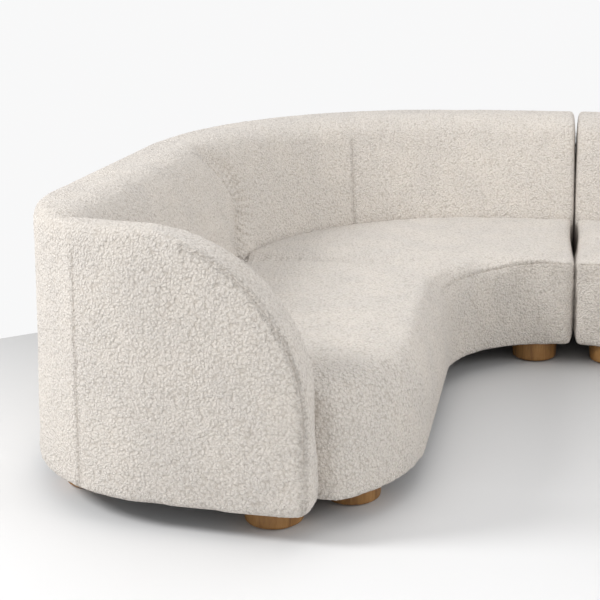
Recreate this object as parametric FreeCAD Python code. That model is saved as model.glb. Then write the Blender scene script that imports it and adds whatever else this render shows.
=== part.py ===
import FreeCAD, Part
import math
import os

# U-shaped two-module sofa with upholstered shells on round oak stub legs.
# Millimetres, +Z up, origin on the floor at the centre of the sofa's box.
# X runs along the back, -Y is the open side, and the modules meet at X = 0.
# Everything is drawn for the left module (X < 0) and mirrored for the right one.

# overall sizes
WIDTH = 3130.0
DEPTH = 2683.0
HEIGHT = 812.0
MODULE_GAP = 4.0

# plan of the upholstery
BACK_DEPTH = 365.0
SEAT_DEPTH_REAR = 735.0
SEAT_DEPTH_SIDE = 722.0
JUNCTION_RADIUS = 900.0
FRONT_CORNER_RADIUS = 375.0
NOSE_RADIUS = 500.0
NOSE_SETBACK = 523.0
ARM_CORNER_RADIUS = 500.0
ARM_TILT = 5.7
ARM_THICKNESS = 150.0
ARM_REACH = 913.0
ARM_EDGE_RADIUS = 40.0

# heights
FABRIC_BOTTOM = 76.0
SEAT_HEIGHT = 396.0
ARM_SHOULDER_RADIUS = 485.0
ARM_BOTTOM_RADIUS = 55.0

# section of the back
BACK_RAKE = 19.35
BACK_INNER_RADIUS = 92.0
BACK_OUTER_RADIUS = 100.0

# fabric and foam
COVER_THICKNESS = 8.0
FIT_GAP = 1.0
SHEET_GAP = 0.3
HEAD_GAP = 0.1
SECTION_GAP = 2.0
BACK_PAD = 62.0
OUTER_PAD = 14.0
TOP_PAD = 70.0
ARM_PAD = 34.0

# frame
BOARD_THICKNESS = 15.0
BOARD_CLEARANCE = 8.0
RAIL_THICKNESS = 22.0
RAIL_HEIGHT = 168.0
RIB_THICKNESS = 18.0
RIB_WEB = 70.0
TOP_RAIL_THICKNESS = 22.0
TOP_RAIL_WIDTH = 110.0
SIDE_RIBS = 4
CORNER_RIBS = 4
REAR_RIBS = 2
RIB_ARM_OFFSET = 110.0
RIB_CORNER_SETBACK = 60.0
RIB_SEAM_SETBACK = 40.0
CROSS_BOARD_HEIGHT = 120.0
CROSS_FRONT_OFFSET = 60.0
CROSS_REAR_SETBACK = 90.0
SPRING_WIRE = 3.8
SPRING_WIRE_SIDES = 6
SPRING_LOOP = 40.0
SPRING_PITCH = 110.0
SPRING_END_GAP = 6.0
SPRING_ROW_GAP = 80.0
DUST_THICKNESS = 1.2

# legs; each centre is measured in from the contour lines beside it
LEG_SEAM_INSET = 141.0
LEG_FRONT_INSET = 93.0
LEG_REAR_INSET = 125.0
LEG_BACK_SHARE = 0.6
LEG_ARM_OUTER_INSET = (215.0, 345.0)
LEG_ARM_INNER_INSET = (135.0, 173.0)
LEG_SEAT_INSET = (129.0, 353.0)
LEG_DIAMETER = 165.0
LEG_TAPER = 4.0
LEG_EDGE_RADIUS = 9.0
GLIDE_HEIGHT = 3.0
GLIDE_DIAMETER = 120.0
BOLT_DIAMETER = 10.0
BOLT_DEPTH = 44.0
BOLT_END_ROOM = 2.0
BOLT_CLEARANCE = 0.4
NUT_DIAMETER = 26.0
NUT_HEIGHT = 5.0

# connector under the seam
TONGUE_LENGTH = 170.0
TONGUE_WIDTH = 44.0
TONGUE_THICKNESS = 4.0
PIN_DIAMETER = 12.0
PIN_HEIGHT = 22.0
PIN_REACH = 42.0
PIN_CLEARANCE = 2.0
PIN_BOARD_CLEARANCE = 6.0
PIN_MARGIN = 12.0
PLATE_MARGIN = 22.0
SCREW_DIAMETER = 5.0
SCREW_HEAD = 10.0
SCREW_HEAD_HEIGHT = 2.9
SCREW_TIP_SHORT = 2.0
SCREW_REACH = (75.0, 100.0)

# lines that everything else is placed from
SIDE_X = -WIDTH / 2
SEAM_X = -MODULE_GAP / 2
REAR_Y = DEPTH / 2
JUNCTION_X = SIDE_X + BACK_DEPTH
JUNCTION_Y = REAR_Y - BACK_DEPTH
CORNER_X = JUNCTION_X + JUNCTION_RADIUS
CORNER_Y = JUNCTION_Y - JUNCTION_RADIUS
SEAT_FRONT_Y = JUNCTION_Y - SEAT_DEPTH_REAR
SEAT_FACE_X = JUNCTION_X + SEAT_DEPTH_SIDE
ARM_END_X = SIDE_X + ARM_REACH
INNER_SKIN = COVER_THICKNESS + FIT_GAP
TIMBER_INSET = INNER_SKIN + OUTER_PAD
DUST_Z = FABRIC_BOTTOM
BOARD_Z = DUST_Z + DUST_THICKNESS + SHEET_GAP
BOARD_TOP = BOARD_Z + BOARD_THICKNESS
RAIL_Z = BOARD_TOP + SHEET_GAP
DECK_Z = RAIL_Z + RAIL_HEIGHT
LEG_TOP = FABRIC_BOTTOM - SHEET_GAP
PIN_Y = JUNCTION_Y - SEAT_DEPTH_REAR / 3
PLATE_TOP = FABRIC_BOTTOM - SHEET_GAP
STRAP_Z = PLATE_TOP - TONGUE_THICKNESS
TONGUE_Z = STRAP_Z - 2 * FIT_GAP - TONGUE_THICKNESS
TILT = math.radians(ARM_TILT)
RAKE = math.radians(BACK_RAKE)
FRONT_Y = -DEPTH / 2 - ARM_EDGE_RADIUS * (math.tan(TILT) + 1 / math.cos(TILT) - 1)
CROSS_FRONT_Y = FRONT_Y + NOSE_SETBACK + CROSS_FRONT_OFFSET
CROSS_REAR_Y = CORNER_Y - CROSS_REAR_SETBACK
RIB_TOP = HEIGHT - TOP_PAD
BIG = WIDTH + DEPTH


def vec(x, y, z=0.0):
    return FreeCAD.Vector(x, y, z)


def outline(corners):
    """Closed wire through the corners (x, y, radius), each rounded by a tangent arc."""
    edges = []
    ends = []
    count = len(corners)
    for i, (x, y, radius) in enumerate(corners):
        here = vec(x, y)
        before = vec(*corners[i - 1][:2]) - here
        after = vec(*corners[(i + 1) % count][:2]) - here
        before.normalize()
        after.normalize()
        if radius == 0:
            ends.append((here, here, None))
            continue
        half = before.getAngle(after) / 2
        run = radius / math.tan(half)
        middle = before + after
        middle.normalize()
        centre = here + middle * (radius / math.sin(half))
        ends.append((here + before * run, here + after * run, centre - middle * radius))
    for i, (start, end, middle) in enumerate(ends):
        if middle is not None:
            edges.append(Part.Arc(start, middle, end).toShape())
        following = ends[(i + 1) % count][0]
        if end.distanceToPoint(following) > 1e-6:
            edges.append(Part.LineSegment(end, following).toShape())
    return Part.Wire(edges)


def slab(wire, low, high):
    """A plan outline raised from one height to another."""
    face = Part.Face(wire)
    face.translate(vec(0, 0, low))
    return face.extrude(vec(0, 0, high - low))


def box(x0, y0, z0, x1, y1, z1):
    return Part.makeBox(x1 - x0, y1 - y0, z1 - z0, vec(x0, y0, z0))


def cylinder(x, y, z0, z1, diameter):
    return Part.makeCylinder(diameter / 2, z1 - z0, vec(x, y, z0))


def panel_line_y(x, inset=0.0):
    """Y of the arm's outer end panel at x; the panel is tilted in plan."""
    return FRONT_Y + inset / math.cos(TILT) + (ARM_END_X - x) * math.tan(TILT)


def outer_plan(inset=0.0):
    """Plan of the module's outer contour, closed straight across the open side."""
    x = SIDE_X + inset
    return outline([
        (SEAM_X - inset, REAR_Y - inset, 0),
        (x, REAR_Y - inset, JUNCTION_RADIUS + BACK_DEPTH - inset),
        (x, panel_line_y(x, inset), ARM_CORNER_RADIUS - inset),
        (ARM_END_X - inset, panel_line_y(ARM_END_X - inset, inset), ARM_EDGE_RADIUS),
        (ARM_END_X - inset, FRONT_Y + ARM_THICKNESS, 0),
        (SEAM_X - inset, SEAT_FRONT_Y, 0),
    ])


def seat_plan(inset=0.0, behind=0.0):
    """Plan of the seat: front contour moved in by inset, junction line moved out by behind."""
    face_x = SEAT_FACE_X - inset
    front_y = SEAT_FRONT_Y + inset
    nose_y = FRONT_Y + NOSE_SETBACK - NOSE_RADIUS + inset
    return outline([
        (SEAM_X - inset, front_y, 0),
        (SEAM_X - inset, JUNCTION_Y + behind, 0),
        (JUNCTION_X - behind, JUNCTION_Y + behind, JUNCTION_RADIUS + behind),
        (JUNCTION_X - behind, nose_y, 0),
        (face_x, nose_y, NOSE_RADIUS - inset),
        (face_x, front_y, FRONT_CORNER_RADIUS + inset),
    ])


def upright_face(face, toward_rear=False):
    """Stands up a face drawn as (outwards, height): outwards is -X, or +Y toward the rear."""
    stood = face.copy()
    stood.rotate(vec(0, 0), vec(1, 0, 0), 90)
    if toward_rear:
        stood.rotate(vec(0, 0), vec(0, 0, 1), 90)
        return stood
    return stood.mirror(vec(0, 0), vec(1, 0, 0))


def along_side(face, start_y, end_y):
    """Carries a section along the side, between two lines across it."""
    run = upright_face(face)
    run.translate(vec(JUNCTION_X, start_y))
    return run.extrude(vec(0, end_y - start_y, 0))


def along_rear(face):
    """Carries a section round the corner and along the rear, to just short of the seam."""
    at_corner = upright_face(face)
    at_corner.translate(vec(JUNCTION_X, CORNER_Y))
    bend = at_corner.revolve(vec(CORNER_X, CORNER_Y), vec(0, 0, 1), -90)
    run = upright_face(face, toward_rear=True)
    run.translate(vec(CORNER_X, JUNCTION_Y))
    straight = run.extrude(vec(SEAM_X - INNER_SKIN - CORNER_X, 0, 0))
    return bend.fuse(straight).removeSplitter()


def all_round(face):
    """Carries a section from the open end of the module to its seam."""
    return along_side(face, FRONT_Y, CORNER_Y).fuse(along_rear(face)).removeSplitter()


def beyond(x):
    """Everything on the far side of a plane across X."""
    return box(x, -BIG, -BIG, BIG, BIG, BIG)


def back_face(inset=0.0, low=FABRIC_BOTTOM):
    """Section of the back as (outwards, height), measured from its line along the seat."""
    top = HEIGHT - inset
    inner = (top - SEAT_HEIGHT) * math.tan(RAKE) + inset / math.cos(RAKE)
    return Part.Face(outline([
        (inset, low, 0),
        (inset, SEAT_HEIGHT, 0),
        (inner, top, BACK_INNER_RADIUS - inset),
        (BACK_DEPTH - inset, top, BACK_OUTER_RADIUS - inset),
        (BACK_DEPTH - inset, low, 0),
    ]))


def frame_face(inset=0.0):
    """Section of the timber frame inside the back."""
    top = RIB_TOP - inset
    inner = BACK_PAD + inset
    outer = BACK_DEPTH - TIMBER_INSET - inset
    return Part.Face(outline([
        (inner, RAIL_Z, 0),
        (inner, SEAT_HEIGHT, 0),
        (inner + (top - SEAT_HEIGHT) * math.tan(RAKE), top, 0),
        (outer, top, 0),
        (outer, RAIL_Z, 0),
    ]))


def rectangle(x0, y0, x1, y1):
    return Part.Face(outline([(x0, y0, 0), (x1, y0, 0), (x1, y1, 0), (x0, y1, 0)]))


def arm_block(inset=0.0, low=FABRIC_BOTTOM, inner=0.0):
    """The arm at the open end: a slab with a round shoulder, tilted and cut to the plan."""
    end_x = ARM_END_X - inset
    far_x = SIDE_X - ARM_THICKNESS
    top = HEIGHT - inset
    face = Part.Face(outline([
        (far_x, low, 0),
        (end_x, low, ARM_BOTTOM_RADIUS if low == FABRIC_BOTTOM else 0),
        (end_x, top, ARM_SHOULDER_RADIUS - inset),
        (far_x, top, 0),
    ]))
    face.rotate(vec(0, 0), vec(1, 0, 0), 90)
    face.translate(vec(0, inset))
    block = face.extrude(vec(0, ARM_THICKNESS - inset - inner, 0))
    block.rotate(vec(end_x, 0), vec(0, 0, 1), -ARM_TILT)
    block.translate(vec(0, FRONT_Y))
    return block.common(slab(outer_plan(inset), low - 1, HEIGHT + 1))


def arm_zone(clearance):
    """Everything in front of the arm's inner face, moved back by clearance."""
    zone = box(-BIG, -BIG, -BIG, BIG, ARM_THICKNESS + clearance, BIG)
    zone.rotate(vec(ARM_END_X, 0), vec(0, 0, 1), -ARM_TILT)
    zone.translate(vec(0, FRONT_Y))
    return zone


def crease_zone(clearance):
    """The side part of the module, up to the crease that runs across the seat."""
    return box(-BIG, -BIG, -BIG, BIG, CORNER_Y - clearance / 2, BIG)


# upholstery

def split_at_crease(solid):
    side = solid.common(crease_zone(SECTION_GAP))
    corner = solid.cut(crease_zone(-SECTION_GAP))
    return side.cut(arm_zone(FIT_GAP)), corner


def seat_covers():
    outer = slab(seat_plan(behind=-FIT_GAP), FABRIC_BOTTOM, SEAT_HEIGHT)
    hollow = slab(seat_plan(COVER_THICKNESS, BACK_DEPTH), -BIG, SEAT_HEIGHT - COVER_THICKNESS)
    return split_at_crease(outer.cut(hollow))


def seat_foams():
    block = slab(seat_plan(INNER_SKIN, -FIT_GAP), RAIL_Z, SEAT_HEIGHT - INNER_SKIN)
    room = slab(seat_plan(TIMBER_INSET, BACK_DEPTH), -BIG, DECK_Z + FIT_GAP)
    return split_at_crease(block.cut(room))


def side_run(section, inset, overrun=0.0):
    """A section of the back carried from the arm to the corner and cut to the plan."""
    run = along_side(section, FRONT_Y, CORNER_Y - SECTION_GAP + overrun)
    return run.common(slab(outer_plan(inset), 0, BIG)).cut(arm_zone(FIT_GAP - overrun))


def back_covers():
    hidden = rectangle(-FIT_GAP, 0, BACK_DEPTH / 2, SEAT_HEIGHT - COVER_THICKNESS)
    outer = back_face().cut(hidden).Faces[0]
    inner = back_face(COVER_THICKNESS, FABRIC_BOTTOM - FIT_GAP)
    side = side_run(outer, 0.0).cut(side_run(inner, COVER_THICKNESS, SECTION_GAP))
    end = upright_face(back_face(), toward_rear=True)
    end.translate(vec(SEAM_X - INNER_SKIN, JUNCTION_Y))
    rear = along_rear(outer.cut(inner).Faces[0]).fuse(end.extrude(vec(INNER_SKIN, 0, 0)))
    return side, rear.removeSplitter()


def back_foams():
    section = back_face(INNER_SKIN, RAIL_Z)
    timber = frame_face(-FIT_GAP)
    side = side_run(section, INNER_SKIN).cut(side_run(timber, TIMBER_INSET - FIT_GAP, SECTION_GAP))
    rear = along_rear(section.cut(timber).Faces[0])
    return side, rear.cut(beyond(SEAM_X - INNER_SKIN - FIT_GAP))


def arm_cover():
    hollow = arm_block(COVER_THICKNESS, FABRIC_BOTTOM - FIT_GAP, COVER_THICKNESS)
    skin = arm_block().cut(hollow)
    passage = along_side(back_face(COVER_THICKNESS, RAIL_Z), FRONT_Y, CORNER_Y)
    under_seat = slab(seat_plan(COVER_THICKNESS, BACK_DEPTH), 0, SEAT_HEIGHT - COVER_THICKNESS)
    open_side = passage.fuse(under_seat).common(slab(outer_plan(COVER_THICKNESS), 0, BIG))
    return skin.cut(open_side.cut(arm_zone(-ARM_THICKNESS / 2)))


def arm_foam():
    inset = ARM_PAD - FIT_GAP
    return arm_block(INNER_SKIN, RAIL_Z, INNER_SKIN).cut(arm_block(inset, 0, inset))


# frame
BOARD_THICKNESS = 15.0
BOARD_CLEARANCE = 8.0
RAIL_THICKNESS = 22.0
RAIL_HEIGHT = 168.0
RIB_THICKNESS = 18.0
RIB_WEB = 70.0
TOP_RAIL_THICKNESS = 22.0
TOP_RAIL_WIDTH = 110.0
SIDE_RIBS = 4
CORNER_RIBS = 4
REAR_RIBS = 2
RIB_ARM_OFFSET = 110.0
RIB_CORNER_SETBACK = 60.0
RIB_SEAM_SETBACK = 40.0
CROSS_BOARD_HEIGHT = 120.0
CROSS_FRONT_OFFSET = 60.0
CROSS_REAR_SETBACK = 90.0
SPRING_WIRE = 3.8
SPRING_WIRE_SIDES = 6
SPRING_LOOP = 40.0
SPRING_PITCH = 110.0
SPRING_END_GAP = 6.0
SPRING_ROW_GAP = 80.0
DUST_THICKNESS = 1.2

# legs; each centre is measured in from the contour lines beside it
LEG_SEAM_INSET = 141.0
LEG_FRONT_INSET = 93.0
LEG_REAR_INSET = 125.0
LEG_BACK_SHARE = 0.6
LEG_ARM_OUTER_INSET = (215.0, 345.0)
LEG_ARM_INNER_INSET = (135.0, 173.0)
LEG_SEAT_INSET = (129.0, 353.0)
LEG_DIAMETER = 165.0
LEG_TAPER = 4.0
LEG_EDGE_RADIUS = 9.0
GLIDE_HEIGHT = 3.0
GLIDE_DIAMETER = 120.0
BOLT_DIAMETER = 10.0
BOLT_DEPTH = 44.0
BOLT_END_ROOM = 2.0
BOLT_CLEARANCE = 0.4
NUT_DIAMETER = 26.0
NUT_HEIGHT = 5.0

# connector under the seam
TONGUE_LENGTH = 170.0
TONGUE_WIDTH = 44.0
TONGUE_THICKNESS = 4.0
PIN_DIAMETER = 12.0
PIN_HEIGHT = 22.0
PIN_REACH = 42.0
PIN_CLEARANCE = 2.0
PIN_BOARD_CLEARANCE = 6.0
PIN_MARGIN = 12.0
PLATE_MARGIN = 22.0
SCREW_DIAMETER = 5.0
SCREW_HEAD = 10.0
SCREW_HEAD_HEIGHT = 2.9
SCREW_TIP_SHORT = 2.0
SCREW_REACH = (75.0, 100.0)

# lines that everything else is placed from
SIDE_X = -WIDTH / 2
SEAM_X = -MODULE_GAP / 2
REAR_Y = DEPTH / 2
JUNCTION_X = SIDE_X + BACK_DEPTH
JUNCTION_Y = REAR_Y - BACK_DEPTH
CORNER_X = JUNCTION_X + JUNCTION_RADIUS
CORNER_Y = JUNCTION_Y - JUNCTION_RADIUS
SEAT_FRONT_Y = JUNCTION_Y - SEAT_DEPTH_REAR
SEAT_FACE_X = JUNCTION_X + SEAT_DEPTH_SIDE
ARM_END_X = SIDE_X + ARM_REACH
INNER_SKIN = COVER_THICKNESS + FIT_GAP
TIMBER_INSET = INNER_SKIN + OUTER_PAD
DUST_Z = FABRIC_BOTTOM
BOARD_Z = DUST_Z + DUST_THICKNESS + SHEET_GAP
BOARD_TOP = BOARD_Z + BOARD_THICKNESS
RAIL_Z = BOARD_TOP + SHEET_GAP
DECK_Z = RAIL_Z + RAIL_HEIGHT
LEG_TOP = FABRIC_BOTTOM - SHEET_GAP
PIN_Y = JUNCTION_Y - SEAT_DEPTH_REAR / 3
PLATE_TOP = FABRIC_BOTTOM - SHEET_GAP
STRAP_Z = PLATE_TOP - TONGUE_THICKNESS
TONGUE_Z = STRAP_Z - 2 * FIT_GAP - TONGUE_THICKNESS
TILT = math.radians(ARM_TILT)
RAKE = math.radians(BACK_RAKE)
FRONT_Y = -DEPTH / 2 - ARM_EDGE_RADIUS * (math.tan(TILT) + 1 / math.cos(TILT) - 1)
CROSS_FRONT_Y = FRONT_Y + NOSE_SETBACK + CROSS_FRONT_OFFSET
CROSS_REAR_Y = CORNER_Y - CROSS_REAR_SETBACK
RIB_TOP = HEIGHT - TOP_PAD
BIG = WIDTH + DEPTH


def vec(x, y, z=0.0):
    return FreeCAD.Vector(x, y, z)


def outline(corners):
    """Closed wire through the corners (x, y, radius), each rounded by a tangent arc."""
    edges = []
    ends = []
    count = len(corners)
    for i, (x, y, radius) in enumerate(corners):
        here = vec(x, y)
        before = vec(*corners[i - 1][:2]) - here
        after = vec(*corners[(i + 1) % count][:2]) - here
        before.normalize()
        after.normalize()
        if radius == 0:
            ends.append((here, here, None))
            continue
        half = before.getAngle(after) / 2
        run = radius / math.tan(half)
        middle = before + after
        middle.normalize()
        centre = here + middle * (radius / math.sin(half))
        ends.append((here + before * run, here + after * run, centre - middle * radius))
    for i, (start, end, middle) in enumerate(ends):
        if middle is not None:
            edges.append(Part.Arc(start, middle, end).toShape())
        following = ends[(i + 1) % count][0]
        if end.distanceToPoint(following) > 1e-6:
            edges.append(Part.LineSegment(end, following).toShape())
    return Part.Wire(edges)


def slab(wire, low, high):
    """A plan outline raised from one height to another."""
    face = Part.Face(wire)
    face.translate(vec(0, 0, low))
    return face.extrude(vec(0, 0, high - low))


def box(x0, y0, z0, x1, y1, z1):
    return Part.makeBox(x1 - x0, y1 - y0, z1 - z0, vec(x0, y0, z0))


def cylinder(x, y, z0, z1, diameter):
    return Part.makeCylinder(diameter / 2, z1 - z0, vec(x, y, z0))


def panel_line_y(x, inset=0.0):
    """Y of the arm's outer end panel at x; the panel is tilted in plan."""
    return FRONT_Y + inset / math.cos(TILT) + (ARM_END_X - x) * math.tan(TILT)


def outer_plan(inset=0.0):
    """Plan of the module's outer contour, closed straight across the open side."""
    x = SIDE_X + inset
    return outline([
        (SEAM_X - inset, REAR_Y - inset, 0),
        (x, REAR_Y - inset, JUNCTION_RADIUS + BACK_DEPTH - inset),
        (x, panel_line_y(x, inset), ARM_CORNER_RADIUS - inset),
        (ARM_END_X - inset, panel_line_y(ARM_END_X - inset, inset), ARM_EDGE_RADIUS),
        (ARM_END_X - inset, FRONT_Y + ARM_THICKNESS, 0),
        (SEAM_X - inset, SEAT_FRONT_Y, 0),
    ])


def seat_plan(inset=0.0, behind=0.0):
    """Plan of the seat: front contour moved in by inset, junction line moved out by behind."""
    face_x = SEAT_FACE_X - inset
    front_y = SEAT_FRONT_Y + inset
    nose_y = FRONT_Y + NOSE_SETBACK - NOSE_RADIUS + inset
    return outline([
        (SEAM_X - inset, front_y, 0),
        (SEAM_X - inset, JUNCTION_Y + behind, 0),
        (JUNCTION_X - behind, JUNCTION_Y + behind, JUNCTION_RADIUS + behind),
        (JUNCTION_X - behind, nose_y, 0),
        (face_x, nose_y, NOSE_RADIUS - inset),
        (face_x, front_y, FRONT_CORNER_RADIUS + inset),
    ])


def upright_face(face, toward_rear=False):
    """Stands up a face drawn as (outwards, height): outwards is -X, or +Y toward the rear."""
    stood = face.copy()
    stood.rotate(vec(0, 0), vec(1, 0, 0), 90)
    if toward_rear:
        stood.rotate(vec(0, 0), vec(0, 0, 1), 90)
        return stood
    return stood.mirror(vec(0, 0), vec(1, 0, 0))


def along_side(face, start_y, end_y):
    """Carries a section along the side, between two lines across it."""
    run = upright_face(face)
    run.translate(vec(JUNCTION_X, start_y))
    return run.extrude(vec(0, end_y - start_y, 0))


def along_rear(face):
    """Carries a section round the corner and along the rear, to just short of the seam."""
    at_corner = upright_face(face)
    at_corner.translate(vec(JUNCTION_X, CORNER_Y))
    bend = at_corner.revolve(vec(CORNER_X, CORNER_Y), vec(0, 0, 1), -90)
    run = upright_face(face, toward_rear=True)
    run.translate(vec(CORNER_X, JUNCTION_Y))
    straight = run.extrude(vec(SEAM_X - INNER_SKIN - CORNER_X, 0, 0))
    return bend.fuse(straight).removeSplitter()


def all_round(face):
    """Carries a section from the open end of the module to its seam."""
    return along_side(face, FRONT_Y, CORNER_Y).fuse(along_rear(face)).removeSplitter()


def beyond(x):
    """Everything on the far side of a plane across X."""
    return box(x, -BIG, -BIG, BIG, BIG, BIG)


def back_face(inset=0.0, low=FABRIC_BOTTOM):
    """Section of the back as (outwards, height), measured from its line along the seat."""
    top = HEIGHT - inset
    inner = (top - SEAT_HEIGHT) * math.tan(RAKE) + inset / math.cos(RAKE)
    return Part.Face(outline([
        (inset, low, 0),
        (inset, SEAT_HEIGHT, 0),
        (inner, top, BACK_INNER_RADIUS - inset),
        (BACK_DEPTH - inset, top, BACK_OUTER_RADIUS - inset),
        (BACK_DEPTH - inset, low, 0),
    ]))


def frame_face(inset=0.0):
    """Section of the timber frame inside the back."""
    top = RIB_TOP - inset
    inner = BACK_PAD + inset
    outer = BACK_DEPTH - TIMBER_INSET - inset
    return Part.Face(outline([
        (inner, RAIL_Z, 0),
        (inner, SEAT_HEIGHT, 0),
        (inner + (top - SEAT_HEIGHT) * math.tan(RAKE), top, 0),
        (outer, top, 0),
        (outer, RAIL_Z, 0),
    ]))


def rectangle(x0, y0, x1, y1):
    return Part.Face(outline([(x0, y0, 0), (x1, y0, 0), (x1, y1, 0), (x0, y1, 0)]))


def arm_block(inset=0.0, low=FABRIC_BOTTOM, inner=0.0):
    """The arm at the open end: a slab with a round shoulder, tilted and cut to the plan."""
    end_x = ARM_END_X - inset
    far_x = SIDE_X - ARM_THICKNESS
    top = HEIGHT - inset
    face = Part.Face(outline([
        (far_x, low, 0),
        (end_x, low, ARM_BOTTOM_RADIUS if low == FABRIC_BOTTOM else 0),
        (end_x, top, ARM_SHOULDER_RADIUS - inset),
        (far_x, top, 0),
    ]))
    face.rotate(vec(0, 0), vec(1, 0, 0), 90)
    face.translate(vec(0, inset))
    block = face.extrude(vec(0, ARM_THICKNESS - inset - inner, 0))
    block.rotate(vec(end_x, 0), vec(0, 0, 1), -ARM_TILT)
    block.translate(vec(0, FRONT_Y))
    return block.common(slab(outer_plan(inset), low - 1, HEIGHT + 1))


def arm_zone(clearance):
    """Everything in front of the arm's inner face, moved back by clearance."""
    zone = box(-BIG, -BIG, -BIG, BIG, ARM_THICKNESS + clearance, BIG)
    zone.rotate(vec(ARM_END_X, 0), vec(0, 0, 1), -ARM_TILT)
    zone.translate(vec(0, FRONT_Y))
    return zone


def crease_zone(clearance):
    """The side part of the module, up to the crease that runs across the seat."""
    return box(-BIG, -BIG, -BIG, BIG, CORNER_Y - clearance / 2, BIG)


# upholstery

def split_at_crease(solid):
    side = solid.common(crease_zone(SECTION_GAP))
    corner = solid.cut(crease_zone(-SECTION_GAP))
    return side.cut(arm_zone(FIT_GAP)), corner


def seat_covers():
    outer = slab(seat_plan(behind=-FIT_GAP), FABRIC_BOTTOM, SEAT_HEIGHT)
    hollow = slab(seat_plan(COVER_THICKNESS, BACK_DEPTH), -BIG, SEAT_HEIGHT - COVER_THICKNESS)
    return split_at_crease(outer.cut(hollow))


def seat_foams():
    block = slab(seat_plan(INNER_SKIN, -FIT_GAP), RAIL_Z, SEAT_HEIGHT - INNER_SKIN)
    room = slab(seat_plan(TIMBER_INSET, BACK_DEPTH), -BIG, DECK_Z + FIT_GAP)
    return split_at_crease(block.cut(room))


def side_run(section, inset, overrun=0.0):
    """A section of the back carried from the arm to the corner and cut to the plan."""
    run = along_side(section, FRONT_Y, CORNER_Y - SECTION_GAP + overrun)
    return run.common(slab(outer_plan(inset), 0, BIG)).cut(arm_zone(FIT_GAP - overrun))


def back_covers():
    hidden = rectangle(-FIT_GAP, 0, BACK_DEPTH / 2, SEAT_HEIGHT - COVER_THICKNESS)
    outer = back_face().cut(hidden).Faces[0]
    inner = back_face(COVER_THICKNESS, FABRIC_BOTTOM - FIT_GAP)
    side = side_run(outer, 0.0).cut(side_run(inner, COVER_THICKNESS, SECTION_GAP))
    end = upright_face(back_face(), toward_rear=True)
    end.translate(vec(SEAM_X - INNER_SKIN, JUNCTION_Y))
    rear = along_rear(outer.cut(inner).Faces[0]).fuse(end.extrude(vec(INNER_SKIN, 0, 0)))
    return side, rear.removeSplitter()


def back_foams():
    section = back_face(INNER_SKIN, RAIL_Z)
    timber = frame_face(-FIT_GAP)
    side = side_run(section, INNER_SKIN).cut(side_run(timber, TIMBER_INSET - FIT_GAP, SECTION_GAP))
    rear = along_rear(section.cut(timber).Faces[0])
    return side, rear.cut(beyond(SEAM_X - INNER_SKIN - FIT_GAP))


def arm_cover():
    hollow = arm_block(COVER_THICKNESS, FABRIC_BOTTOM - FIT_GAP, COVER_THICKNESS)
    skin = arm_block().cut(hollow)
    passage = along_side(back_face(COVER_THICKNESS, RAIL_Z), FRONT_Y, CORNER_Y)
    under_seat = slab(seat_plan(COVER_THICKNESS, BACK_DEPTH), 0, SEAT_HEIGHT - COVER_THICKNESS)
    open_side = passage.fuse(under_seat).common(slab(outer_plan(COVER_THICKNESS), 0, BIG))
    return skin.cut(open_side.cut(arm_zone(-ARM_THICKNESS / 2)))


def arm_foam():
    inset = TIMBER_INSET - FIT_GAP
    return arm_block(INNER_SKIN, RAIL_Z, INNER_SKIN).cut(arm_block(inset, 0, inset))


# frame

def board_plan_solid(inset, low, high):
    seat = slab(seat_plan(inset, BACK_DEPTH / 2), low, high)
    strip = all_round(rectangle(-inset, low, BACK_DEPTH - inset, high))
    arm = slab(outer_plan(inset), low, high).common(arm_zone(0))
    arm = arm.cut(beyond(ARM_END_X - ARM_BOTTOM_RADIUS - inset))
    rest = seat.fuse(strip).common(slab(outer_plan(inset), low, high))
    solid = rest.cut(arm_zone(0)).fuse(arm).removeSplitter()
    return solid.cut(beyond(SEAM_X - inset))


def arm_boards():
    """The two shaped plywood boards that carry the arm."""
    behind = ARM_PAD + RIB_THICKNESS
    front = arm_block(ARM_PAD, RAIL_Z, ARM_THICKNESS - behind)
    rear = arm_block(ARM_PAD, RAIL_Z, ARM_PAD).cut(arm_zone(-behind))
    return [front, rear]


def leg_places():
    diagonal = (JUNCTION_RADIUS + BACK_DEPTH * LEG_BACK_SHARE) * math.sqrt(0.5)
    outer_x, outer_y = LEG_ARM_OUTER_INSET
    inner_x, inner_y = LEG_ARM_INNER_INSET
    seat_x, seat_y = LEG_SEAT_INSET
    return {
        "leg_seam_front": (-LEG_SEAM_INSET, SEAT_FRONT_Y + LEG_FRONT_INSET),
        "leg_seam_rear": (-LEG_SEAM_INSET, REAR_Y - LEG_REAR_INSET),
        "leg_corner": (CORNER_X - diagonal, CORNER_Y + diagonal),
        "leg_arm_outer": (SIDE_X + outer_x, FRONT_Y + outer_y),
        "leg_arm_inner": (ARM_END_X - inner_x, FRONT_Y + inner_y),
        "leg_seat_front": (SEAT_FACE_X - seat_x, FRONT_Y + seat_y),
    }


def drilled(board):
    """Bores the holes for the leg bolts, the connector's pin and its screws."""
    for x, y in leg_places().values():
        board = board.cut(cylinder(x, y, 0, BIG, BOLT_DIAMETER + 2 * BOLT_CLEARANCE))
    pin_room = PIN_DIAMETER + 2 * PIN_BOARD_CLEARANCE
    board = board.cut(cylinder(-PIN_REACH, PIN_Y, 0, BIG, pin_room))
    for reach in SCREW_REACH:
        board = board.cut(cylinder(-reach, PIN_Y, 0, BIG, SCREW_DIAMETER + 2 * BOLT_CLEARANCE))
    return board


def base_board():
    edge = INNER_SKIN + BOARD_CLEARANCE
    return drilled(board_plan_solid(edge, BOARD_Z, BOARD_Z + BOARD_THICKNESS))


def dust_cover():
    edge = INNER_SKIN + BOARD_CLEARANCE
    return drilled(board_plan_solid(edge, DUST_Z, DUST_Z + DUST_THICKNESS))


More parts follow.
